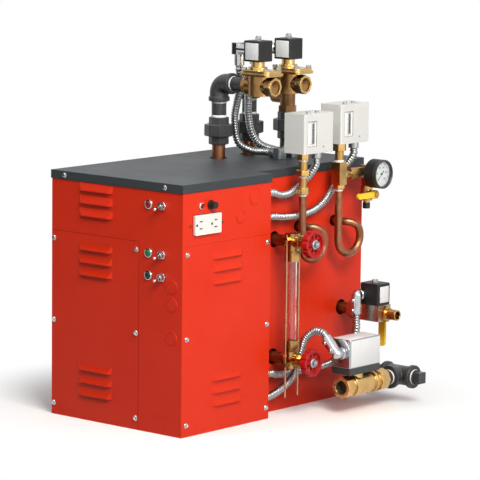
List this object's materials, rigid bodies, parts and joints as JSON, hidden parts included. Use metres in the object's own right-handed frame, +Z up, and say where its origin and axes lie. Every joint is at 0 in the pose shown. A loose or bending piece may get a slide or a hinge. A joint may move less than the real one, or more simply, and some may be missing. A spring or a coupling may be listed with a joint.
{
  "type": "cabinet steam boiler",
  "caption": "Floor-standing electric steam boiler in a sheet-steel cabinet with steam outlet valves, safety valve, water gauge, pressure controls, feed valve and motorised drain.",
  "frame": {"origin": "on the floor, at the middle of the cabinet's length and of its front width", "axes": "+Z up, +X to the right as seen from the front, +Y from the front to the back"},
  "size_m": [0.4342, 0.554, 0.657],
  "materials": {
    "red_paint": "semi-gloss enamel",
    "cover_paint": "semi-gloss enamel",
    "vessel_steel": "mill",
    "red_lens": "moulded lens",
    "green_lens": "moulded lens",
    "bright_metal": "nickel plate",
    "black_plastic": "moulded",
    "white_plastic": "moulded",
    "control_enamel": "enamel",
    "dial_white": "satin",
    "copper": "aged copper",
    "black_iron": "black malleable",
    "brass": "cast and turned",
    "bronze": "aged",
    "zinc": "zinc",
    "yellow_vinyl": "dipped vinyl",
    "clear_glass": "clear",
    "handwheel_red": "gloss",
    "dark_paint": "satin"
  },
  "bodies": {
    "boiler": {"base_pan": "red_paint", "control_box_shell": "red_paint", "front_access_panel": "red_paint", "side_access_panel": "red_paint", "left_side_panel": "red_paint", "jacket_back_panel": "red_paint", "jacket_side_panel": "red_paint", "front_cover": "cover_paint", "rear_cover": "cover_paint", "steam_vessel": "vessel_steel", "red_pilot_lamps": "red_lens", "green_pilot_lamps": "green_lens", "switch_bodies": "bright_metal", "fuse_holder": "black_plastic", "receptacle": "white_plastic", "copper_stubs": "copper", "pipe_unions": "black_iron", "pipe_nipples": "black_iron", "pipe_elbows": "black_iron", "steam_valve_bodies": "brass", "steam_valve_coils": "black_plastic", "safety_valve": "bronze", "top_conduits": "zinc", "side_conduits": "zinc", "conduit_elbows": "zinc", "conduit_connectors": "zinc", "siphon_tubes": "copper", "control_fittings": "brass", "pressure_controls": "control_enamel", "gauge_manifold": "brass", "gauge_case": "black_plastic", "gauge_dial": "dial_white", "gauge_cock": "brass", "brass_nipples": "bronze", "water_gauge_valves": "brass", "gauge_glass": "clear_glass", "guard_rods": "brass", "feed_valve_body": "brass", "feed_valve_coil": "black_plastic", "feed_inlet_fitting": "brass", "drain_tee": "black_iron", "drain_plug": "black_iron", "drain_valve_body": "brass", "actuator_base": "dark_paint", "actuator_cover": "zinc"},
    "upper_handwheel": {"handwheel_upper": "handwheel_red"},
    "lower_handwheel": {"handwheel_lower": "handwheel_red"},
    "cock_handle": {"gauge_cock_handle": "yellow_vinyl"},
    "feed_lever": {"feed_valve_lever": "yellow_vinyl"},
    "toggle_1": {"switch_lever_1": "bright_metal"},
    "toggle_2": {"switch_lever_2": "bright_metal"},
    "toggle_3": {"switch_lever_3": "bright_metal"}
  },
  "joints": [
    {"name": "upper_handwheel_turn", "type": "hinge", "parent": "boiler", "child": "upper_handwheel", "pos_m": [0.199, 0.017, 0.308], "axis": [1, 0, 0], "range_deg": [0, 540]},
    {"name": "lower_handwheel_turn", "type": "hinge", "parent": "boiler", "child": "lower_handwheel", "pos_m": [0.199, 0.017, 0.099], "axis": [1, 0, 0], "range_deg": [0, 540]},
    {"name": "cock_handle_turn", "type": "hinge", "parent": "boiler", "child": "cock_handle", "pos_m": [0.168, 0.2345, 0.372], "axis": [1, 0, 0], "range_deg": [0, 90]},
    {"name": "feed_lever_turn", "type": "hinge", "parent": "boiler", "child": "feed_lever", "pos_m": [0.193, 0.23, 0.16], "axis": [0, -1, 0], "range_deg": [0, 90]},
    {"name": "toggle_1_flip", "type": "hinge", "parent": "boiler", "child": "toggle_1", "pos_m": [0.108, -0.2695, 0.393], "axis": [-1, 0, 0], "range_deg": [0, 28]},
    {"name": "toggle_2_flip", "type": "hinge", "parent": "boiler", "child": "toggle_2", "pos_m": [0.108, -0.2695, 0.31], "axis": [-1, 0, 0], "range_deg": [0, 28]},
    {"name": "toggle_3_flip", "type": "hinge", "parent": "boiler", "child": "toggle_3", "pos_m": [0.108, -0.2695, 0.2715], "axis": [-1, 0, 0], "range_deg": [0, 28]}
  ]
}
